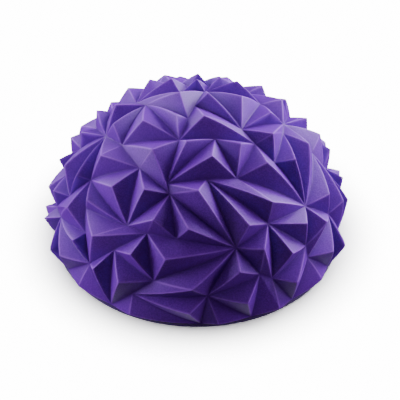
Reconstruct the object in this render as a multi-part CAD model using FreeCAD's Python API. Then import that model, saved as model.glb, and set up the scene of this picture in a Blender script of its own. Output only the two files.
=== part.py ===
# Balance dome trainer: an air-filled half ball of soft PVC with a faceted skin.
# Millimetres, +Z up. The origin is the middle of the flat underside, on the surface it stands on.
# Each piece is one solid in parts/: the skin, the base disc, the valve seat and the valve plug.

import FreeCAD, Part
import math
import os

Vector = FreeCAD.Vector

# ---- driving dimensions -------------------------------------------------------------------------
PEAK_RADIUS = 80.0          # sphere that the points of the pyramids touch
VALLEY_DEPTH = 7.0          # how far the valleys between the pyramids lie below their points
LIP_RADIUS_GAIN = 3.0       # how far the pyramids that end at the rim stand out from it
SKIN_WALL = 3.5             # skin thickness under a valley
BASE_THICKNESS = 2.2        # flat disc that closes the underside, without its ribs
BASE_LEDGE = 0.5            # how far the disc stands out past the foot of the skin
BASE_EDGE_ROUND = 0.6       # rounding of the lower edge of the disc
RIB_HEIGHT = 0.8            # grip ribs under the disc
RIB_WIDTH = 2.0
RIB_PITCH = 14.0            # from one rib to the next
FOOT_INSET = 5.0            # outer edge of the outermost rib, in from the edge of the disc
VALVE_BODY_RADIUS = 6.0     # valve seat where it goes through the disc
VALVE_FLANGE_RADIUS = 9.5   # flange of the valve seat, inside the skin
VALVE_FLANGE_THICKNESS = 1.6
VALVE_NECK_LENGTH = 9.0     # neck that grips the plug, above the flange
VALVE_NECK_WALL = 2.0
PLUG_STEM_RADIUS = 2.2
PLUG_STEM_LENGTH = 12.0     # stem that goes into the neck, under the head
PLUG_HEAD_RADIUS = 4.0
PLUG_HEAD_THICKNESS = 1.4
PLUG_TIP_RADIUS = 1.2       # the stem ends in a cone, to start it into the neck
PLUG_TIP_LENGTH = 2.5
PLUG_CLEARANCE = 0.05       # running fit of the stem in the neck
HEAD_CLEARANCE = 0.4        # round the head, in the recess of the seat
HEAD_RECESS = 0.6           # how far the head stays above the underside of the ribs
SEAT_CLEARANCE = 0.0        # the seat is welded into the disc, face to face
STEP_DEGREES = 9.0          # longest straight step along a valley

VALLEY_RADIUS = PEAK_RADIUS - VALLEY_DEPTH
LIP_RADIUS = VALLEY_RADIUS + LIP_RADIUS_GAIN
DISC_RADIUS = VALLEY_RADIUS + BASE_LEDGE
DISC_UNDERSIDE = RIB_HEIGHT
CENTRE_HEIGHT = DISC_UNDERSIDE + BASE_THICKNESS   # centre of both spheres, at the top of the disc
HEAD_TOP = HEAD_RECESS + PLUG_HEAD_THICKNESS      # the head stops against the seat here

# ---- pattern ------------------------------------------------------------------------------------
# Directions from the middle of the sphere: bearing from the front (-Y) towards +X, and elevation.
# The first letter says where a hub is: Front, Left, Right, Top, Back, or the Edge at elevation 0.
HUBS = {
    "F1": (17, 30.5), "F2": (4, 13), "F3": (-17, 17.5), "F5": (-23, 35), "F6": (34.5, 35.5),
    "F7": (25.5, 18), "F8": (30.5, 14.5), "F9": (50, 19.5), "F10": (49.5, 14.5),
    "L1": (-19.5, 54.5), "L2": (-16, 51), "L3": (-42.5, 56.5), "L4": (-70, 58), "L5": (-67.5, 40),
    "L6": (-47, 13), "L7": (-90, 52), "L8": (-75.5, 26.5), "L9": (-76, 15.5), "L10": (-87, 12),
    "L11": (-93, 25), "L12": (-100, 35),
    "R1": (58.5, 32.5), "R2": (27, 55.5), "R3": (59, 63.5), "R4": (101.5, 53), "R5": (90, 54.5),
    "R6": (93, 38), "R7": (72, 20), "R8": (94, 28), "R9": (81, 5), "R10": (120, 43), "R12": (112, 33),
    "R13": (90.5, 11), "R14": (102, 19.5),
    "T1": (-23, 73), "T2": (169, 73.5), "T3": (65, 71), "T4": (122, 59), "T5": (-117, 67),
    "T6": (-123, 60), "T7": (-156, 74), "T8": (-172, 66), "T9": (-152, 51), "T10": (150, 66),
    "T13": (130, 49), "T14": (142, 56), "T15": (-142, 63.5), "T16": (166, 67), "T17": (-163, 60),
    "T18": (180, 56), "T19": (155, 56),
    "B1": (-110, 41.5), "B2": (-147, 36), "B3": (178, 36), "B4": (150, 35), "B5": (128, 31),
    "B6": (-112, 20), "B7": (-132, 17), "B8": (-158, 23), "B9": (175, 15), "B10": (148, 18),
    "B11": (112, 14), "B12": (-125, 44), "B13": (-106, 23),
    "E1": (1.5, 0), "E2": (-35, 0), "E3": (-62, 0), "E4": (-84, 0), "E5": (-106, 0), "E6": (-128, 0),
    "E7": (-152, 0), "E8": (-172, 0), "E9": (164, 0), "E10": (137, 0), "E11": (114, 0),
    "E12": (86, 0), "E13": (64, 0), "E14": (39.5, 0), "E15": (21, 0),
}

# Hubs that lie on the valley between two others: first end, second end, share of the way.
HUBS_ON_VALLEYS = {
    "F11": ("L1", "R2", 0.57), "F12": ("T1", "R3", 0.46), "F13": ("F5", "F1", 0.34),
    "F14": ("F3", "E2", 0.45), "R11": ("R3", "R1", 0.33), "T11": ("T2", "T1", 0.41),
    "T12": ("T2", "T1", 0.66), "L13": ("L5", "L6", 0.34), "L14": ("L5", "L6", 0.63),
    "L15": ("L13", "F5", 0.72), "L16": ("F5", "L6", 0.51),
}

# Pyramids: the direction of the point, and the hubs round the foot.
PYRAMIDS = [
    # front
    ((1, 52), "L1 L2 F1 F11"), ((23, 38), "F11 F1 F6"), ((37.5, 42.5), "F11 F6 R1 R2"),
    ((12, 64), "L1 F11 R2 F12"), ((-10, 70), "T1 L1 F12"), ((39, 65.5), "F12 R2 R3"),
    ((47, 55), "R3 R2 R1 R11"), ((27, 28.5), "F1 F7 F8 F6"), ((16, 23), "F1 F2 F7"),
    ((18, 10.5), "F2 E15 F7"), ((-1.5, 18), "F14 F2 F1 F3"), ((-2.5, 8.5), "F14 E1 F2"),
    ((-12, 28), "F5 F3 F1 F13"), ((-26, 27), "F5 L16 F3"), ((-29, 15.5), "L16 E2 F14 F3"),
    ((-3.5, 39), "L2 F13 F1"), ((-19.5, 40.5), "L2 L15 F5 F13"),
    # left
    ((-40.5, 16), "L6 E2 L16"), ((-44.5, 27), "L13 L14 L6 L16 F5 L15"), ((-55, 36), "L5 L13 L15"),
    ((-46, 45.5), "L5 L15 L3"), ((-66, 50.5), "L7 L5 L3 L4"), ((-70, 38.5), "L7 L8 L5"),
    ((-84, 34), "L7 L12 L11 L8"), ((-80.5, 24), "L11 L10 L8"), ((-64, 28), "L5 L8 L10 L9 L14 L13"),
    ((-53.5, 20.5), "L9 L6 L14"), ((-59.5, 10), "L9 E3 L6"), ((-68, 6), "L9 E4 E3"),
    ((-82.5, 9.5), "L10 E4 L9"), ((-28.5, 49.5), "L3 L15 L2"), ((-36, 63.5), "L4 L3 L2 L1 T1"),
    # top
    ((-68.5, 69.5), "T5 L4 T1"), ((-44, 79.5), "T5 T1 T12"), ((-130, 82), "T6 T5 T12 T11 T2 T7"),
    ((-84, 59), "L7 L4 T5"), ((-107, 58), "L7 T5 T6 B12"), ((16, 81), "T11 T12 T1 F12 R3 T3"),
    ((140, 84), "T2 T11 T3"), ((109, 73), "T2 T3 T4"), ((92, 63), "T4 T3 R4"),
    ((-154, 68.5), "T6 T7 T8 T17 T15"), ((180, 74), "T7 T2 T16 T8"), ((179, 65.5), "T8 T16 T18 T17"),
    ((159, 67), "T2 T16 T18 T19 T14 T10"), ((143, 65.5), "T2 T10 T14 T4"),
    ((-146, 57), "T6 T15 T17 T9"),
    # right
    ((69.5, 60.5), "T3 R3 R11 R5 R4"), ((65, 49), "R5 R11 R1"), ((84, 46), "R4 R5 R1 R6"),
    ((70, 30), "R6 R1 R7"), ((79, 20.5), "R6 R7 R9 R8"), ((60.5, 24), "R1 F9 F10 R7"),
    ((49.5, 29.5), "F6 F9 R1"), ((38.5, 23), "F6 F8 F9"), ((38, 11.5), "F9 F8 E14 F10"),
    ((59.5, 12), "R7 F10 E13"), ((70, 6.5), "R7 E13 E12 R9"), ((113, 40), "R4 R12 B5 R10"),
    ((105, 35.5), "R4 R6 R8 R12"), ((102, 29), "R8 R14 R12"), ((94.5, 19.5), "R8 R13 R14"),
    ((88, 14), "R8 R9 R13"),
    # back
    ((119, 52), "T14 T4 R4 R10 T13"), ((139, 50), "T14 T13 B4 T19"), ((127, 44), "T13 R10 B5 B4"),
    ((164, 43.5), "T18 T19 B4 B3"), ((-171, 42), "T18 B3 B2"), ((-160, 51.5), "T17 T18 B2 T9"),
    ((-134, 52), "T6 T9 B2 B12"), ((-115, 45), "L7 B12 B1"), ((-98, 42.5), "L7 B1 L12"),
    ((-108, 31), "L12 B1 B6 B13"), ((-97, 27), "L12 B13 L11"), ((-137, 33), "B12 B2 B7"),
    ((-120, 28), "B1 B12 B7 B6"), ((-146, 26), "B2 B8 B7"), ((-166, 31), "B2 B3 B8"),
    ((178, 27), "B3 B9 B8"), ((156, 31), "B3 B4 B10"), ((169, 22), "B3 B10 B9"),
    ((139, 28), "B4 B5 B10"), ((124, 20), "B5 B11 B10"), ((113, 24), "R12 R14 B11 B5"),
    ((104, 15.5), "R14 R13 B11"), ((98, 6), "R9 E12 E11 B11 R13"), ((120.5, 4.5), "B11 E11 E10"),
    ((133, 11.5), "B11 E10 B10"), ((151, 9), "B10 E10 E9"), ((165, 10), "B10 E9 B9"),
    ((176, 6), "B9 E9 E8"), ((-168, 11), "B9 E8 B8"), ((-162, 6.5), "B8 E8 E7"),
    ((-147, 14), "B8 E7 B7"), ((-135, 7), "B7 E7 E6"), ((-122.5, 5), "B7 E6 E5"),
    ((-116, 13), "B7 E5 B6"), ((-100, 10), "B6 E5 L10"), ((-95, 5), "L10 E5 E4"),
    ((-92.5, 16.5), "L11 B13 B6 L10"),
]

# Pyramids whose point sits on the lip of the rim, just above the edge.
LIP_PYRAMIDS = [
    ((55, 1), "F10 E14 E13"), ((32, 1), "F7 E15 E14 F8"), ((8, 1), "F2 E1 E15"),
    ((-25.5, 1), "F14 E2 E1"), ((-50.5, 1), "L6 E3 E2"),
]


def direction(bearing, elevation):
    """Unit vector towards a bearing and an elevation, both in degrees."""
    turn = math.radians(bearing)
    rise = math.radians(elevation)
    flat = math.cos(rise)
    return Vector(math.sin(turn) * flat, -math.cos(turn) * flat, math.sin(rise))


def along_arc(start, end, share):
    """Unit vector at a share of the great circle from one unit vector to another."""
    angle = math.acos(max(-1.0, min(1.0, start.dot(end))))
    first = math.sin((1.0 - share) * angle) / math.sin(angle)
    second = math.sin(share * angle) / math.sin(angle)
    return start * first + end * second


def hub_directions():
    """Every hub's unit vector, by name."""
    found = {name: direction(*angles) for name, angles in HUBS.items()}
    for name, (start, end, share) in HUBS_ON_VALLEYS.items():
        found[name] = along_arc(found[start], found[end], share)
    return found


def on_sphere(unit, radius):
    """Point at a radius from the centre of the spheres."""
    return unit * radius + Vector(0, 0, CENTRE_HEIGHT)


def foot_points(ring, hubs):
    """Points round a pyramid's foot, along the valleys, anticlockwise from outside."""
    middle = Vector(0, 0, 0)
    for name in ring:
        middle += hubs[name]
    area = Vector(0, 0, 0)
    for here, there in zip(ring, ring[1:] + ring[:1]):
        area += hubs[here].cross(hubs[there])
    if area.dot(middle) < 0:
        ring = ring[::-1]
    points = []
    for here, there in zip(ring, ring[1:] + ring[:1]):
        angle = math.degrees(math.acos(min(1.0, hubs[here].dot(hubs[there]))))
        steps = max(1, math.ceil(angle / STEP_DEGREES))
        # Both neighbours divide a valley from the same end, so that their points agree exactly.
        forward = here < there
        for step in range(steps):
            if forward:
                unit = along_arc(hubs[here], hubs[there], step / steps)
            else:
                unit = along_arc(hubs[there], hubs[here], (steps - step) / steps)
            points.append(on_sphere(unit, VALLEY_RADIUS))
    return points


def pyramid_faces(point, foot):
    """The plane faces from a pyramid's point to each step of its foot."""
    faces = []
    for here, there in zip(foot, foot[1:] + foot[:1]):
        faces.append(Part.Face(Part.makePolygon([point, here, there, point])))
    return faces


def rim_points(hubs):
    """The points where the skin meets the base disc, once round."""
    edge = sorted((name for name in HUBS if name.startswith("E")), key=lambda name: HUBS[name][0])
    return foot_points(edge, hubs)


def dome_shell():
    """Moulded skin: pyramids outside, a smooth half sphere inside."""
    hubs = hub_directions()
    faces = []
    for radius, pyramids in ((PEAK_RADIUS, PYRAMIDS), (LIP_RADIUS, LIP_PYRAMIDS)):
        for angles, ring in pyramids:
            point = on_sphere(direction(*angles), radius)
            faces += pyramid_faces(point, foot_points(ring.split(), hubs))
    rim = rim_points(hubs)
    faces.append(Part.Face(Part.makePolygon(rim + rim[:1])))
    outside = Part.Solid(Part.Shell(faces))
    centre = Vector(0, 0, CENTRE_HEIGHT)
    cavity = Part.makeSphere(VALLEY_RADIUS - SKIN_WALL, centre, Vector(0, 0, 1), 0, 90)
    return outside.cut(cavity)


def cylinder(radius, bottom, top):
    """Upright cylinder on the middle axis, between two heights."""
    return Part.makeCylinder(radius, top - bottom, Vector(0, 0, bottom))


def base_disc():
    """Disc that closes the skin, with a hole for the valve and the ribs that it all stands on."""
    disc = cylinder(DISC_RADIUS, DISC_UNDERSIDE, CENTRE_HEIGHT)
    half_height = DISC_UNDERSIDE + BASE_THICKNESS / 2
    lower_edge = [edge for edge in disc.Edges if edge.BoundBox.ZMax < half_height]
    disc = disc.makeFillet(BASE_EDGE_ROUND, lower_edge)
    rib_outside = VALLEY_RADIUS - FOOT_INSET
    while rib_outside - RIB_WIDTH > VALVE_FLANGE_RADIUS:
        rib = cylinder(rib_outside, 0, RIB_HEIGHT)
        disc = disc.fuse(rib.cut(cylinder(rib_outside - RIB_WIDTH, 0, RIB_HEIGHT)))
        rib_outside -= RIB_PITCH
    return disc.cut(cylinder(VALVE_BODY_RADIUS + SEAT_CLEARANCE, 0, CENTRE_HEIGHT))


def valve_seat():
    """Valve body welded through the disc: a recess for the plug's head, a flange and a neck."""
    flange_top = CENTRE_HEIGHT + VALVE_FLANGE_THICKNESS
    neck_top = flange_top + VALVE_NECK_LENGTH
    bore_radius = PLUG_STEM_RADIUS + PLUG_CLEARANCE
    seat = cylinder(VALVE_BODY_RADIUS, DISC_UNDERSIDE, CENTRE_HEIGHT)
    seat = seat.fuse(cylinder(VALVE_FLANGE_RADIUS, CENTRE_HEIGHT, flange_top))
    seat = seat.fuse(cylinder(bore_radius + VALVE_NECK_WALL, flange_top, neck_top))
    seat = seat.cut(cylinder(bore_radius, 0, neck_top))
    return seat.cut(cylinder(PLUG_HEAD_RADIUS + HEAD_CLEARANCE, 0, HEAD_TOP))


def valve_plug():
    """Stopper: a flat head to pull on, a stem, and a cone that starts it into the neck."""
    stem_top = HEAD_TOP + PLUG_STEM_LENGTH
    cone_bottom = stem_top - PLUG_TIP_LENGTH
    plug = cylinder(PLUG_HEAD_RADIUS, HEAD_RECESS, HEAD_TOP)
    plug = plug.fuse(cylinder(PLUG_STEM_RADIUS, HEAD_TOP, cone_bottom))
    cone = Part.makeCone(PLUG_STEM_RADIUS, PLUG_TIP_RADIUS, PLUG_TIP_LENGTH, Vector(0, 0, cone_bottom))
    return plug.fuse(cone)


os.makedirs("parts", exist_ok=True)
for piece in (dome_shell, base_disc, valve_seat, valve_plug):
    shape = piece().removeSplitter()
    shape.exportStep(f"parts/{piece.__name__}.step")
    print(piece.__name__, len(shape.Solids), "solid", round(shape.Volume), "mm3", shape.isValid())
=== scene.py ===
"""Balance dome trainer: a hollow half dome of soft vinyl, moulded in faceted points, on a flat base disc
with a rubber valve seat and a small push-in plug underneath."""

import math

import bpy
import numpy as np
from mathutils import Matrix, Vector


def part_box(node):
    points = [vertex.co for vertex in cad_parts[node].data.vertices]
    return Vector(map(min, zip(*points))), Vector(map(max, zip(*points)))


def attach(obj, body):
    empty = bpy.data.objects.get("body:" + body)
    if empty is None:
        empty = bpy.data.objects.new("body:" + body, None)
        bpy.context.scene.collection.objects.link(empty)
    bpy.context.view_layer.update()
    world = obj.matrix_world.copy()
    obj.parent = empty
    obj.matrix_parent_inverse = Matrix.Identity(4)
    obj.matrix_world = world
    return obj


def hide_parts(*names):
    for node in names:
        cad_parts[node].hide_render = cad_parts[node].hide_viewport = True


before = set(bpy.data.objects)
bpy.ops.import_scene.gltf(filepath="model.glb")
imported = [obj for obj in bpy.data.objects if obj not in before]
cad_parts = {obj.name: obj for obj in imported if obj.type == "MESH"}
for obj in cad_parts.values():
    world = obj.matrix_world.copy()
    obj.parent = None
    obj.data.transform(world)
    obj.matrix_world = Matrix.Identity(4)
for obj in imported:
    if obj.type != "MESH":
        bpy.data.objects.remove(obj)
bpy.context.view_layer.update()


# Dome skin.
# One rotational moulding in soft satin vinyl: about a hundred low pyramids share a net of valleys.
# Each pyramid's ridges and tip come out of the mould a little rounded, and so do the valleys between.
# It is welded to the base disc all round its rim, and the wall is 3.5 mm thick.

RIDGE_ROUND = 0.0003       # half the width over which a ridge turns from one face to the next
FLATTEST_RIDGE = 7.0       # degrees: a softer bend than this between two faces is not a ridge
VALLEY_FILL = 0.00026      # how far the vinyl fills a valley, as the scale of its fillet
RIDGE_FADE = 0.0006        # a ridge's rounding dies out this far above the valley
RIDGE_HIGHLIGHT_WIDTH = 0.00035     # half the width of the painted highlight along a ridge
VALLEY_SHADE = 0.0018      # how far up the faces a valley's painted shade reaches
TIP_CLEARANCE = 0.0005     # a corner this much further out than the valleys is a tip
FOOT_SLACK = 0.0001        # a corner this near the valleys' sphere is a foot
RIM_SLACK = 0.00001        # a corner this near the rim's plane is on the rim
WALL_CLEARANCE = 0.001     # a corner this much further in than the valleys is on the inside
FLATTEST_FOOT = 0.0005     # a foot whose direction rises less than this is on the rim
NO_SLOPE = 1e-6            # slope of an empty place in the table of ridges
CORNER_DECIMALS = 5        # directions and radii of corners that agree to this many decimals are the same
ON_RIM = 1e-7              # a finished point this near the rim's height is on the rim
POINT_DECIMALS = 8         # points that agree to this many decimals of a metre are the same
LINING_ROWS = 13           # rows of points up the smooth inside, from the rim to the top
TIP_TO_FOOT = np.array([0, .025, .07, .16, .3, .46, .62, .76, .87, .93, .965, .985, 1])
POINT_TO_POINT = np.array([0, .02, .045, .08, .14, .28, .5, .72, .86, .92, .955, .98, 1])
POINT_TO_MIDDLE = np.array([0, .03, .065, .11, .2, .42, .7, 1])
MIDDLE_TO_MIDDLE = np.array([0, .33, .67, 1])

centre = np.array([0, 0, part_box("base_disc")[1].z])


def triangle_corners(node):
    """The corners of every triangle of a mesh, as an array of triangle, corner and coordinate."""
    mesh = node.data
    mesh.calc_loop_triangles()
    places = np.empty(3 * len(mesh.vertices))
    corners = np.empty(3 * len(mesh.loop_triangles), dtype=np.int32)
    mesh.vertices.foreach_get("co", places)
    mesh.loop_triangles.foreach_get("vertices", corners)
    return places.reshape(-1, 3)[corners.reshape(-1, 3)]


def unit(vectors):
    """Vectors divided by their own length."""
    return vectors / np.linalg.norm(vectors, axis=-1, keepdims=True)


def along_great_circle(start, end, part):
    """Directions a given part of the way from start to end, at an even pace over the sphere:
    each end is weighted by the sine of the angle still to go, over the sine of the whole angle."""
    angle = np.arccos(np.clip((start * end).sum(-1, keepdims=True), -1, 1))
    return (np.sin((1 - part) * angle) * start + np.sin(part * angle) * end) / np.sin(angle)


def numbered(points, decimals):
    """The number of each point in a list of the different points, and that list."""
    points = np.round(points, decimals) + 0.0
    different, number = np.unique(points, axis=0, return_inverse=True)
    return number.reshape(-1), different


def make_piece(name, points, faces, finish, smooth_below=60.0):
    """A mesh object from points and faces, with coinciding points merged and edges sharper than an
    angle in degrees left crisp. faces is a list of arrays, one for each number of corners."""
    number, merged = numbered(points, POINT_DECIMALS)
    loops = []
    for group in faces:
        loops += number[group].tolist()
    mesh = bpy.data.meshes.new(name)
    mesh.from_pydata(merged.tolist(), [], loops)
    mesh.polygons.foreach_set("use_smooth", np.ones(len(mesh.polygons), dtype=bool))
    mesh.set_sharp_from_angle(angle=math.radians(smooth_below))
    mesh.materials.append(finish)
    piece = bpy.data.objects.new(name, mesh)
    bpy.context.scene.collection.objects.link(piece)
    return piece, number


corners = triangle_corners(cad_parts["dome_shell"]) - centre
reach = np.linalg.norm(corners, axis=2)
valley_radius = reach[abs(corners[..., 2]) < RIM_SLACK].max()
on_tip = reach > valley_radius + TIP_CLEARANCE
on_foot = abs(reach - valley_radius) < FOOT_SLACK
moulded = (on_tip.sum(1) == 1) & (on_foot.sum(1) == 2)
order = (np.argmax(on_tip[moulded], axis=1)[:, None] + np.arange(3)) % 3
faces_cad = np.take_along_axis(corners[moulded], order[:, :, None], axis=1)
tip, foot_a, foot_b = np.moveaxis(unit(faces_cad), 1, 0)
tip_radius = np.round(np.linalg.norm(faces_cad[:, 0], axis=1), CORNER_DECIMALS)
inner_radius = reach[reach < valley_radius - WALL_CLEARANCE].max()

# Which pyramid and which foot points each face has, and where three valleys meet. Faces that meet
# take their tip and feet from the same lists, so that their edges fall exactly together.
tip_number, tips = numbered(tip, CORNER_DECIMALS)
foot_number, feet = numbered(np.concatenate([foot_a, foot_b]), CORNER_DECIMALS)
tips, feet = unit(tips), unit(feet)
tip = tips[tip_number]
foot_a, foot_b = feet[foot_number].reshape(2, -1, 3)

pairs = np.unique(np.stack([foot_number, np.tile(tip_number, 2)], axis=1), axis=0)
sharing = np.bincount(pairs[:, 0], minlength=len(feet))
is_hub = (sharing >= 3) | ((sharing == 2) & (abs(feet[:, 2]) < FLATTEST_FOOT))
hub_a, hub_b = is_hub[foot_number].reshape(2, -1)

# The bend at each ridge, from the flat faces on its two sides.
face_normal = unit(np.cross(faces_cad[:, 1] - faces_cad[:, 0], faces_cad[:, 2] - faces_cad[:, 0]))
edge_key = np.tile(tip_number, 2) * len(feet) + foot_number
edges, edge_number = np.unique(edge_key, return_inverse=True)
edge_sum = np.zeros((len(edges), 3))
np.add.at(edge_sum, edge_number, np.tile(face_normal, (2, 1)))
half_bend = np.arccos(np.clip(np.linalg.norm(edge_sum, axis=1) / 2, -1, 1))
is_ridge = is_hub[edges % len(feet)] & (2 * half_bend > math.radians(FLATTEST_RIDGE))
ridge_tip = edges[is_ridge] // len(feet)
ridge_foot = edges[is_ridge] % len(feet)
ridge_slope = 2 * np.tan(half_bend[is_ridge])

# Every pyramid's ridges side by side, with empty places at the end where it has fewer.
order = np.argsort(ridge_tip, kind="stable")
ridge_tip, ridge_foot, ridge_slope = ridge_tip[order], ridge_foot[order], ridge_slope[order]
ridge_count = np.bincount(ridge_tip, minlength=len(tips))
ridge_place = np.arange(len(ridge_tip)) - np.repeat(np.cumsum(ridge_count) - ridge_count, ridge_count)
most = ridge_count.max()
slopes = np.full((len(tips), most), NO_SLOPE)
slopes[ridge_tip, ridge_place] = ridge_slope
runs = np.zeros((len(tips), most, 3))
ridge_top, ridge_end = tips[ridge_tip], feet[ridge_foot]
runs[ridge_tip, ridge_place] = unit(ridge_end - (ridge_end * ridge_top).sum(1)[:, None] * ridge_top)


def moulded_faces(chosen, across):
    """Points of the chosen pyramid faces on a grid of two parameters: t from the tip down to the
    foot, and s along the foot. The direction goes along great circles, first from foot to foot by s
    and then from the tip to that foot point by t, and the height above the centre falls evenly
    with t. A fillet then lifts the valley, and each ridge is lowered the more the nearer it is.
    Gives the points, how near each is to a ridge and to a valley (the weights of the painted ridge highlight
    and the painted valley shade), and the faces of the grid."""
    t = TIP_TO_FOOT[None, :, None, None]
    s = across[None, None, :, None]
    foot = along_great_circle(foot_a[chosen, None, None], foot_b[chosen, None, None], s)
    way = along_great_circle(tip[chosen, None, None], foot, t)
    t = t[..., 0]
    rise = (tip_radius[chosen] - valley_radius)[:, None, None]
    fillet = VALLEY_FILL * np.log1p(np.exp(-2 * (1 - t) * rise / VALLEY_FILL))

    owner = tip_number[chosen]
    top = tips[owner][:, None, None]
    flat = way - (way * top).sum(-1, keepdims=True) * top
    run = runs[owner][:, None, None]
    ahead = (flat[..., None, :] * run).sum(-1)
    beside = (flat[..., None, :] * np.cross(top[..., None, :], run)).sum(-1)
    gap = valley_radius * np.hypot(beside, np.minimum(ahead, 0))
    slope = slopes[owner][:, None, None]
    low = RIDGE_ROUND * slope / 2 * np.log1p(np.exp(-2 * gap / RIDGE_ROUND))
    whole_way = valley_radius * np.arccos(np.clip((top * foot).sum(-1), -1, 1))
    to_foot = (1 - t) * whole_way
    fade = np.expm1(-to_foot / RIDGE_FADE) / np.expm1(-whole_way / RIDGE_FADE)
    low = (low ** 4).sum(-1) ** 0.25 * fade

    radius = valley_radius + (1 - t) * rise + fillet - low
    # weight of the painted highlight along each ridge
    ridge_highlight_mask = (np.exp(-(gap / RIDGE_HIGHLIGHT_WIDTH) ** 2) * np.minimum(slope * 3, 1)).max(-1) * (1 - t ** 6)
    # weight of the painted shade in each valley
    valley_shade_mask = np.exp(-to_foot / VALLEY_SHADE) * np.ones_like(ridge_highlight_mask)

    rows, columns = len(TIP_TO_FOOT), len(across)
    first = np.arange(len(owner))[:, None, None] * rows * columns
    i = np.arange(rows - 1)[None, :, None]
    j = np.arange(columns - 1)[None, None, :]
    corner = first + i * columns + j
    square = np.stack([corner, corner + columns, corner + columns + 1, corner + 1], axis=-1)
    return (centre + radius[..., None] * way).reshape(-1, 3), ridge_highlight_mask.reshape(-1), \
        valley_shade_mask.reshape(-1), square[:, 1:].reshape(-1, 4), square[:, 0, :, :3].reshape(-1, 3)


skin_points, ridge_tone, valley_tone, squares, slivers = [], [], [], [], []
count = 0
for starts, ends, across in (
    (True, True, POINT_TO_POINT),
    (True, False, POINT_TO_MIDDLE),
    (False, True, 1 - POINT_TO_MIDDLE[::-1]),
    (False, False, MIDDLE_TO_MIDDLE),
):
    chosen = np.nonzero((hub_a == starts) & (hub_b == ends))[0]
    points, ridge_highlight_mask, valley_shade_mask, square, sliver = moulded_faces(chosen, across)
    skin_points.append(points)
    ridge_tone.append(ridge_highlight_mask)
    valley_tone.append(valley_shade_mask)
    squares.append(square + count)
    slivers.append(sliver + count)
    count += len(points)

# The rim is flat where it is welded to the base, and the inside of the wall is a plain half sphere.
outside = np.concatenate(skin_points)
rim = np.unique(np.round(outside[abs(outside[:, 2] - centre[2]) < ON_RIM], POINT_DECIMALS), axis=0)
rim = rim[np.argsort(np.arctan2(rim[:, 1], rim[:, 0]))]
bearing = np.arctan2(rim[:, 1], rim[:, 0])
height = np.radians(np.linspace(0, 90, LINING_ROWS))[:, None]
inside = inner_radius * np.stack([
    np.cos(height) * np.cos(bearing),
    np.cos(height) * np.sin(bearing),
    np.sin(height) * np.ones_like(bearing),
], axis=-1) + centre
inside[-1] = centre + [0, 0, inner_radius]
lining = np.concatenate([rim[None], inside])
i = np.arange(len(lining) - 1)[:, None] * len(rim)
k = np.arange(len(rim))[None]
nxt = (k + 1) % len(rim)
ring = np.stack([i + k, i + len(rim) + k, i + len(rim) + nxt, i + nxt], axis=-1) + count
squares.append(ring[:-1].reshape(-1, 4))
slivers.append(ring[-1][:, [0, 1, 3]])
skin_points.append(lining.reshape(-1, 3))
ridge_tone.append(np.zeros(lining.shape[0] * lining.shape[1]))
valley_tone.append(np.zeros(lining.shape[0] * lining.shape[1]))


def node(tree, kind, inputs=None, **settings):
    """A shader node with its settings made and its inputs set or wired up."""
    made = tree.nodes.new("ShaderNode" + kind)
    for name, value in settings.items():
        setattr(made, name, value)
    for name, value in (inputs or {}).items():
        socket = made.inputs[name]
        if isinstance(value, bpy.types.NodeSocket):
            tree.links.new(value, socket)
        else:
            socket.default_value = value
    return made


def noise(tree, scale, detail=2.0, rough=0.5):
    """Even noise from 0 to 1, fixed to the piece's own coordinates; scale is in grains a metre."""
    place = node(tree, "TexCoord").outputs["Object"]
    return node(tree, "TexNoise", {"Vector": place, "Scale": scale, "Detail": detail,
                                   "Roughness": rough}).outputs["Fac"]


def spread(tree, value, low, high, start=0.0, end=1.0):
    """A value between start and end stretched to lie between low and high."""
    return node(tree, "MapRange", {"Value": value, "From Min": start, "From Max": end,
                                   "To Min": low, "To Max": high}).outputs["Result"]


def blended(tree, factor, one, other):
    """A colour on the way from one to the other by the factor."""
    mix = node(tree, "Mix", data_type="RGBA")
    for socket, value in ((mix.inputs["Factor"], factor), (mix.inputs[6], one), (mix.inputs[7], other)):
        if isinstance(value, bpy.types.NodeSocket):
            tree.links.new(value, socket)
        else:
            socket.default_value = value
    return mix.outputs[2]


def bumped(tree, height, strength, distance):
    """A surface normal tilted by a height."""
    return node(tree, "Bump", {"Height": height, "Strength": strength,
                               "Distance": distance}).outputs["Normal"]


def dome_vinyl():
    """Violet soft vinyl with a satin mould finish: slow changes of tone, a fine matt grain, a painted
    highlight along the ridges and painted shade deeper in the valleys."""
    violet = (0.132, 0.0090, 0.415, 1)
    light_violet = (0.158, 0.0120, 0.480, 1)
    speckle = (0.240, 0.032, 0.650, 1)
    # a pale, greyer violet painted along the ridges as a highlight
    ridge_highlight = (0.42, 0.11, 0.92, 1)
    # a darker violet painted into the valleys as shade
    valley_shade = (0.095, 0.008, 0.29, 1)
    finish = bpy.data.materials.new("dome_vinyl")
    finish.use_nodes = True
    tree = finish.node_tree
    shader = tree.nodes["Principled BSDF"]
    clouds = noise(tree, 45, 3)
    grain = noise(tree, 1350, 3, 0.6)
    tone = blended(tree, spread(tree, clouds, 0, 1, .3, .7), violet, light_violet)
    speckled = blended(tree, spread(tree, grain, 0, .62, .37, .68), tone, speckle)
    ridge = node(tree, "Attribute", attribute_name="ridge_highlight_mask").outputs["Fac"]
    valley = node(tree, "Attribute", attribute_name="valley_shade_mask").outputs["Fac"]
    # the painted highlight laid along the ridges
    highlighted = blended(tree, spread(tree, ridge, 0, .8), speckled, ridge_highlight)
    # the painted shade laid into the valleys
    shaded = blended(tree, spread(tree, valley, 0, .75), highlighted, valley_shade)
    tree.links.new(shaded, shader.inputs["Base Color"])
    tree.links.new(spread(tree, grain, .42, .54), shader.inputs["Roughness"])
    shader.inputs["IOR"].default_value = 1.5
    shader.inputs["Specular IOR Level"].default_value = 0.22
    skin_bump = bumped(tree, grain, 0.55, 0.0002)
    tree.links.new(skin_bump, shader.inputs["Normal"])
    return finish


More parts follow.
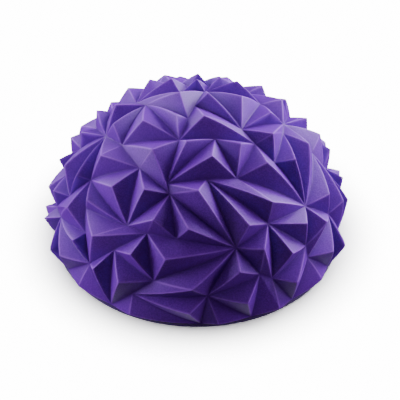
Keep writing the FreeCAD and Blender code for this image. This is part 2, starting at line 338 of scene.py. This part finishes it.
dome, merged_number = make_piece("dome_skin", np.concatenate(skin_points),
                                 [np.concatenate(squares), np.concatenate(slivers)], dome_vinyl())
# the weights of the painted ridge highlight and valley shade, kept on the points for the material
for name, tone in (("ridge_highlight_mask", ridge_tone), ("valley_shade_mask", valley_tone)):
    values = np.zeros(len(dome.data.vertices), dtype=np.float32)
    values[merged_number] = np.concatenate(tone)
    dome.data.attributes.new(name, "FLOAT", "POINT").data.foreach_set("value", values)
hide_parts("dome_shell")
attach(dome, "base")


# Base disc.
# A flat disc of the same vinyl, pressed rather than blown, so it is duller and a shade deeper.
# Its rolled edge shows below the dome, with the weld bead and a fine parting line round it,
# and five low rings underneath grip the floor.

MM = 0.001                 # the sizes of the turned pieces are in millimetres
TURN_STEPS = 240           # steps round the disc
DISC_THICKNESS = 2.2
VALVE_HOLE_RADIUS = 6.0
BEAD_OUT = 0.15            # how far the weld bead stands out past the edge
BEAD_DEPTH = 0.7
GROOVE_IN = 0.25           # how deep the parting line is cut into the edge
GROOVE_TOP = 0.9           # depths of the parting line's two sides below the top face
GROOVE_BOTTOM = 1.15
RING_COUNT = 5
RING_OUTER_RADIUS = 68.0   # outer edge of the outermost ring
RING_PITCH = 14.0
RING_WIDTH = 2.0
MOST_OF_SIDE = 0.49        # a corner's rounding takes at most this part of a side
SAME_POINT = 1e-7          # metres: points of a profile nearer than this are the same
ON_AXIS = 1e-9             # metres: a profile point nearer the axis than this is on it


def rounded_profile(corners, steps=5):
    """A line through corners given as (radius, height, rounding) in millimetres, with an arc at each
    rounded corner: the arc runs between the two points a tangent length from the corner, weighted
    as a quadratic curve with the corner as its control point."""
    corners = np.array(corners, dtype=float)
    spot, rounding = corners[:, :2] * MM, corners[:, 2] * MM
    back = np.roll(spot, 1, axis=0) - spot
    on = np.roll(spot, -1, axis=0) - spot
    back_length = np.linalg.norm(back, axis=1)
    on_length = np.linalg.norm(on, axis=1)
    cut = np.minimum(rounding, np.minimum(back_length, on_length) * MOST_OF_SIDE)
    start = spot + back * (cut / back_length)[:, None]
    end = spot + on * (cut / on_length)[:, None]
    u = np.linspace(0, 1, steps)[None, :, None]
    arc = (1 - u) ** 2 * start[:, None] + 2 * u * (1 - u) * spot[:, None] + u ** 2 * end[:, None]
    line = arc.reshape(-1, 2)
    keep = np.linalg.norm(line - np.roll(line, 1, axis=0), axis=1) > SAME_POINT
    return line[keep]


def turned(profile, steps=TURN_STEPS):
    """A closed profile of radius and height carried once round the upright axis. Where it reaches the
    axis the faces are triangles that meet in one point, and a stretch along the axis has no faces.
    The profile runs anticlockwise with the radius to the right and height up."""
    angle = np.linspace(0, 2 * np.pi, steps, endpoint=False)[:, None]
    radius, height = profile[:, 0], profile[:, 1]
    points = np.stack([radius * np.cos(angle), radius * np.sin(angle), height * np.ones_like(angle)], axis=-1)
    i = np.arange(steps)[:, None]
    k = np.arange(len(profile))[None]
    nxt = (k + 1) % len(profile)
    ahead = (i + 1) % steps
    square = np.stack([i * len(profile) + k, ahead * len(profile) + k, ahead * len(profile) + nxt,
                       i * len(profile) + nxt], axis=-1)
    on_axis = radius < ON_AXIS
    next_on_axis = np.roll(on_axis, -1)
    into_axis = square[:, ~on_axis & next_on_axis][..., [0, 1, 2]]
    out_of_axis = square[:, on_axis & ~next_on_axis][..., [0, 2, 3]]
    sliver = np.concatenate([into_axis.reshape(-1, 3), out_of_axis.reshape(-1, 3)])
    return points.reshape(-1, 3), [square[:, ~on_axis & ~next_on_axis].reshape(-1, 4), sliver]


def pressed_vinyl():
    """Deep violet vinyl with the dull, finely stippled face of a press plate."""
    dark_violet = (0.060, 0.012, 0.170, 1)
    deep_violet = (0.078, 0.017, 0.215, 1)
    finish = bpy.data.materials.new("pressed_vinyl")
    finish.use_nodes = True
    tree = finish.node_tree
    shader = tree.nodes["Principled BSDF"]
    clouds = noise(tree, 60, 3)
    stipple = noise(tree, 1800, 2)
    tone = blended(tree, spread(tree, clouds, 0, 1, .3, .7), dark_violet, deep_violet)
    tree.links.new(tone, shader.inputs["Base Color"])
    tree.links.new(spread(tree, stipple, .45, .62), shader.inputs["Roughness"])
    tree.links.new(bumped(tree, stipple, 0.35, 0.0002), shader.inputs["Normal"])
    return finish


_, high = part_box("base_disc")
edge = high.x / MM
top_face = high.z / MM
underside = top_face - DISC_THICKNESS
ring_corners = []
for ring in range(RING_COUNT):
    ring_edge = RING_OUTER_RADIUS - RING_PITCH * ring
    ring_corners += [(ring_edge, underside, .2), (ring_edge, 0, .3), (ring_edge - RING_WIDTH, 0, .3),
                     (ring_edge - RING_WIDTH, underside, .2)]
base_profile = rounded_profile([
    (VALVE_HOLE_RADIUS, underside, .1), (VALVE_HOLE_RADIUS, top_face, 0),
    (edge + BEAD_OUT, top_face, .3), (edge + BEAD_OUT, top_face - BEAD_DEPTH, .3),
    (edge - GROOVE_IN, top_face - GROOVE_TOP, .1), (edge, top_face - GROOVE_BOTTOM, .2),
    (edge, underside, .6),
] + ring_corners)[::-1]
points, faces = turned(base_profile)
base, _ = make_piece("base_plate", points, faces, pressed_vinyl(), smooth_below=35)
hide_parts("base_disc")
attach(base, "base")


# Valve seat.
# A black rubber grommet moulded in one: a body flush in the disc, a flange that is bonded to the top
# of the disc and a neck that grips the plug.

FLANGE_RADIUS = 9.5
FLANGE_THICKNESS = 1.6
NECK_RADIUS = 4.25
NECK_BORE_RADIUS = 2.25
HEAD_WELL_RADIUS = 4.4     # the well that takes the plug's head
HEAD_TOP = 2.0             # height of the well's roof and of the top of the plug's head
SMALL_TURN_STEPS = 96      # steps round the seat and the plug

_, seat_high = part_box("valve_seat")
neck_top = seat_high.z / MM
flange_top = top_face + FLANGE_THICKNESS
seat_profile = rounded_profile([
    (VALVE_HOLE_RADIUS, underside, .25), (VALVE_HOLE_RADIUS, top_face, 0), (FLANGE_RADIUS, top_face, .2),
    (FLANGE_RADIUS, flange_top, .5), (NECK_RADIUS, flange_top, .6), (NECK_RADIUS, neck_top, .5),
    (NECK_BORE_RADIUS, neck_top, .4), (NECK_BORE_RADIUS, HEAD_TOP, .1), (HEAD_WELL_RADIUS, HEAD_TOP, .15),
    (HEAD_WELL_RADIUS, underside, .25),
])


def black_rubber():
    """Matt black rubber with a little bloom."""
    black = (0.018, 0.017, 0.020, 1)
    bloomed = (0.040, 0.038, 0.044, 1)
    finish = bpy.data.materials.new("black_rubber")
    finish.use_nodes = True
    tree = finish.node_tree
    shader = tree.nodes["Principled BSDF"]
    bloom = noise(tree, 400, 3)
    tone = blended(tree, spread(tree, bloom, 0, 1, .35, .7), black, bloomed)
    tree.links.new(tone, shader.inputs["Base Color"])
    tree.links.new(spread(tree, bloom, .55, .72), shader.inputs["Roughness"])
    tree.links.new(bumped(tree, noise(tree, 3000), 0.3, 0.0001), shader.inputs["Normal"])
    return finish


points, faces = turned(seat_profile, SMALL_TURN_STEPS)
seat, _ = make_piece("valve_grommet", points, faces, black_rubber(), smooth_below=40)
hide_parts("valve_seat")
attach(seat, "base")


# Valve plug.
# A small push-in plug of pale plastic: a round head with a dished face and a grip rim, and a
# tapered stem with two sealing rings that presses into the seat.

HEAD_RADIUS = 4.0
GRIP_RIM_INNER_RADIUS = 3.0
DISH_RADIUS = 2.5
DISH_DEPTH = 0.3           # depth of the dish at its edge
DISH_MIDDLE_DEPTH = 0.35
STEM_RADIUS = 2.1
SEAL_RADIUS = 2.2
SEAL_HEIGHTS = (4.6, 8.2)  # where each sealing ring starts to swell out of the stem
SEAL_RAMP = 0.3            # height over which a ring swells or falls away
SEAL_END = 0.9             # height above its start at which a ring starts to fall away
TAPER_START = 11.5
STEM_TIP_RADIUS = 1.2

plug_low, plug_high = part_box("valve_plug")
head_face = plug_low.z / MM
stem_top = plug_high.z / MM
seal_corners = []
for seal in SEAL_HEIGHTS:
    seal_corners += [(STEM_RADIUS, seal, .1), (SEAL_RADIUS, seal + SEAL_RAMP, .1),
                     (SEAL_RADIUS, seal + SEAL_END, .1), (STEM_RADIUS, seal + SEAL_END + SEAL_RAMP, .1)]
plug_profile = rounded_profile([
    (0, head_face + DISH_MIDDLE_DEPTH, 0), (DISH_RADIUS, head_face + DISH_DEPTH, .3),
    (GRIP_RIM_INNER_RADIUS, head_face, .2), (HEAD_RADIUS, head_face, .35), (HEAD_RADIUS, HEAD_TOP, .25),
    (STEM_RADIUS, HEAD_TOP, .1),
] + seal_corners + [
    (STEM_RADIUS, TAPER_START, .3), (STEM_TIP_RADIUS, stem_top, .3), (0, stem_top, 0),
])


def pale_plastic():
    """Milky push-in plug plastic, faintly clouded, with light passing a little way in."""
    ivory = (0.62, 0.60, 0.57, 1)
    milk = (0.74, 0.72, 0.69, 1)
    finish = bpy.data.materials.new("pale_plastic")
    finish.use_nodes = True
    tree = finish.node_tree
    shader = tree.nodes["Principled BSDF"]
    clouds = noise(tree, 300, 3)
    tone = blended(tree, clouds, ivory, milk)
    tree.links.new(tone, shader.inputs["Base Color"])
    tree.links.new(spread(tree, clouds, .28, .42), shader.inputs["Roughness"])
    shader.inputs["Subsurface Weight"].default_value = 0.25
    shader.inputs["Subsurface Scale"].default_value = 0.001
    tree.links.new(bumped(tree, noise(tree, 2500), 0.15, 0.0001), shader.inputs["Normal"])
    return finish


points, faces = turned(plug_profile, SMALL_TURN_STEPS)
plug, _ = make_piece("valve_stopper", points, faces, pale_plastic(), smooth_below=40)
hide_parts("valve_plug")
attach(plug, "plug")


# Studio.
# A pale floor that fades into a bright glowing wall all round. The floor is lit by the lamps and takes their
# shadows, but it is far dimmer than the wall, so round the dome it is a painted contact shadow that fades out
# by distance from the middle.
# The camera alone sees them, and they send no light back to the dome. The floor is
# clear from below, so that the underside can be seen.

FLOOR_REACH = 0.6
FLOOR_SIDES = 64
FLOOR_DROP = 0.00002       # how far the floor lies under the rings, so that the two don't flicker
SHADOW_FADE_START = 0.070         # the floor, and with it the painted contact shadow, is solid up to this distance from the middle
SHADOW_FADE_END = 0.102           # and clear from this one on
FLOOR_WHITE = 1.6
WALL_RADIUS = 8.0
WALL_SIDES = 48
WALL_ROWS = 25
WALL_GLOW = 15.0
LIGHT_AIM_HEIGHT = 0.03    # the lights face a point this far above the floor
AIR_GLOW = 0.012           # faint light from all round

angle = np.linspace(0, 2 * np.pi, FLOOR_SIDES, endpoint=False)
floor_mesh = bpy.data.meshes.new("floor")
floor_mesh.from_pydata(np.stack([np.cos(angle) * FLOOR_REACH, np.sin(angle) * FLOOR_REACH,
                                 np.full(FLOOR_SIDES, -FLOOR_DROP)], axis=1).tolist(), [],
                       [list(range(FLOOR_SIDES))])
floor = bpy.data.objects.new("floor", floor_mesh)
floor_paint = bpy.data.materials.new("floor_paint")
floor_paint.use_nodes = True
tree = floor_paint.node_tree
place = node(tree, "TexCoord").outputs["Object"]
distance = node(tree, "VectorMath", {0: place}, operation="LENGTH").outputs["Value"]
# near the middle the floor stays solid and dim against the bright wall: a painted contact shadow round the
# dome, fading out by distance
fade = node(tree, "MapRange", {"Value": distance, "From Min": SHADOW_FADE_START, "From Max": SHADOW_FADE_END},
            interpolation_type="SMOOTHSTEP").outputs["Result"]
from_below = node(tree, "NewGeometry").outputs["Backfacing"]
clear = node(tree, "Math", {0: fade, 1: from_below}, operation="MAXIMUM").outputs["Value"]
paint = node(tree, "BsdfDiffuse", {"Color": (FLOOR_WHITE, FLOOR_WHITE, FLOOR_WHITE, 1)})
glass = node(tree, "BsdfTransparent")
mixed = node(tree, "MixShader", {"Fac": clear})
tree.links.new(paint.outputs[0], mixed.inputs[1])
tree.links.new(glass.outputs[0], mixed.inputs[2])
tree.links.new(mixed.outputs[0], tree.nodes["Material Output"].inputs["Surface"])
floor_mesh.materials.append(floor_paint)

bearing = np.linspace(0, 2 * np.pi, WALL_SIDES, endpoint=False)[:, None]
height = np.linspace(-np.pi / 2, np.pi / 2, WALL_ROWS)
wall_points = WALL_RADIUS * np.stack([np.cos(height) * np.cos(bearing), np.cos(height) * np.sin(bearing),
                                      np.sin(height) * np.ones_like(bearing)], axis=-1)
i = np.arange(WALL_SIDES)[:, None] * WALL_ROWS
k = np.arange(WALL_ROWS - 1)[None]
ahead = (i + WALL_ROWS) % (WALL_SIDES * WALL_ROWS)
wall_faces = np.stack([i + k, i + k + 1, ahead + k + 1, ahead + k], axis=-1).reshape(-1, 4)
wall_mesh = bpy.data.meshes.new("studio_wall")
wall_mesh.from_pydata(wall_points.reshape(-1, 3).tolist(), [], wall_faces.tolist())
wall = bpy.data.objects.new("studio_wall", wall_mesh)
wall_paint = bpy.data.materials.new("wall_paint")
wall_paint.use_nodes = True
tree = wall_paint.node_tree
glow = node(tree, "Emission", {"Color": (1, 1, 1, 1), "Strength": WALL_GLOW})
tree.links.new(glow.outputs[0], tree.nodes["Material Output"].inputs["Surface"])
wall_mesh.materials.append(wall_paint)
for stage in (floor, wall):
    bpy.context.scene.collection.objects.link(stage)
    stage.visible_diffuse = False
    stage.visible_glossy = False
    stage.visible_transmission = False
    stage.visible_shadow = False


def soft_box(name, bearing, height, reach, width, power):
    """A square soft light at a bearing and height in degrees, facing the dome; bearing 0 is the
    camera's side and 90 is the right."""
    light = bpy.data.lights.new(name, "AREA")
    light.shape = "SQUARE"
    light.size = width
    light.energy = power
    holder = bpy.data.objects.new(name, light)
    b, h = math.radians(bearing), math.radians(height)
    away = np.array([math.sin(b) * math.cos(h), -math.cos(b) * math.cos(h), math.sin(h)])
    holder.location = away * reach + [0, 0, LIGHT_AIM_HEIGHT]
    holder.rotation_euler = (math.radians(90 - height), 0, b)
    bpy.context.scene.collection.objects.link(holder)
    return holder


soft_box("key_light", 132, 24, 0.9, 0.65, 17.5)
soft_box("left_light", -95, 12, 0.9, 0.6, 8.4)
soft_box("left_back_light", -140, 20, 0.9, 0.6, 5.5)
soft_box("right_light", 88, 8, 0.9, 0.5, 4.0)
soft_box("top_light", 180, 62, 0.9, 0.5, 1.6)
soft_box("fill_light", -30, 40, 0.9, 0.6, 0.6)
soft_box("low_light", -35, -14, 0.9, 0.6, 0.55)
soft_box("under_light", 0, -90, 0.9, 0.8, 2.0)

world = bpy.data.worlds.new("studio_air")
world.use_nodes = True
world.node_tree.nodes["Background"].inputs["Color"].default_value = (1, 1, 1, 1)
world.node_tree.nodes["Background"].inputs["Strength"].default_value = AIR_GLOW
bpy.context.scene.world = world

# Camera: in front of the dome and above it, looking down at a point a little over the rim.
CAMERA_TILT = 39.5         # degrees down from level
CAMERA_REACH = 0.7
AIM_ASIDE = 0.0015
AIM_ABOVE_RIM = 0.01667

aim = np.array([AIM_ASIDE, 0, centre[2] + AIM_ABOVE_RIM])
lens = bpy.data.cameras.new("camera")
lens.sensor_width = 36
lens.lens = 122.5
camera = bpy.data.objects.new("camera", lens)
tilt = math.radians(CAMERA_TILT)
camera.location = aim + CAMERA_REACH * np.array([0, -math.cos(tilt), math.sin(tilt)])
camera.rotation_euler = (math.radians(90 - CAMERA_TILT), 0, 0)
bpy.context.scene.collection.objects.link(camera)
bpy.context.scene.camera = camera
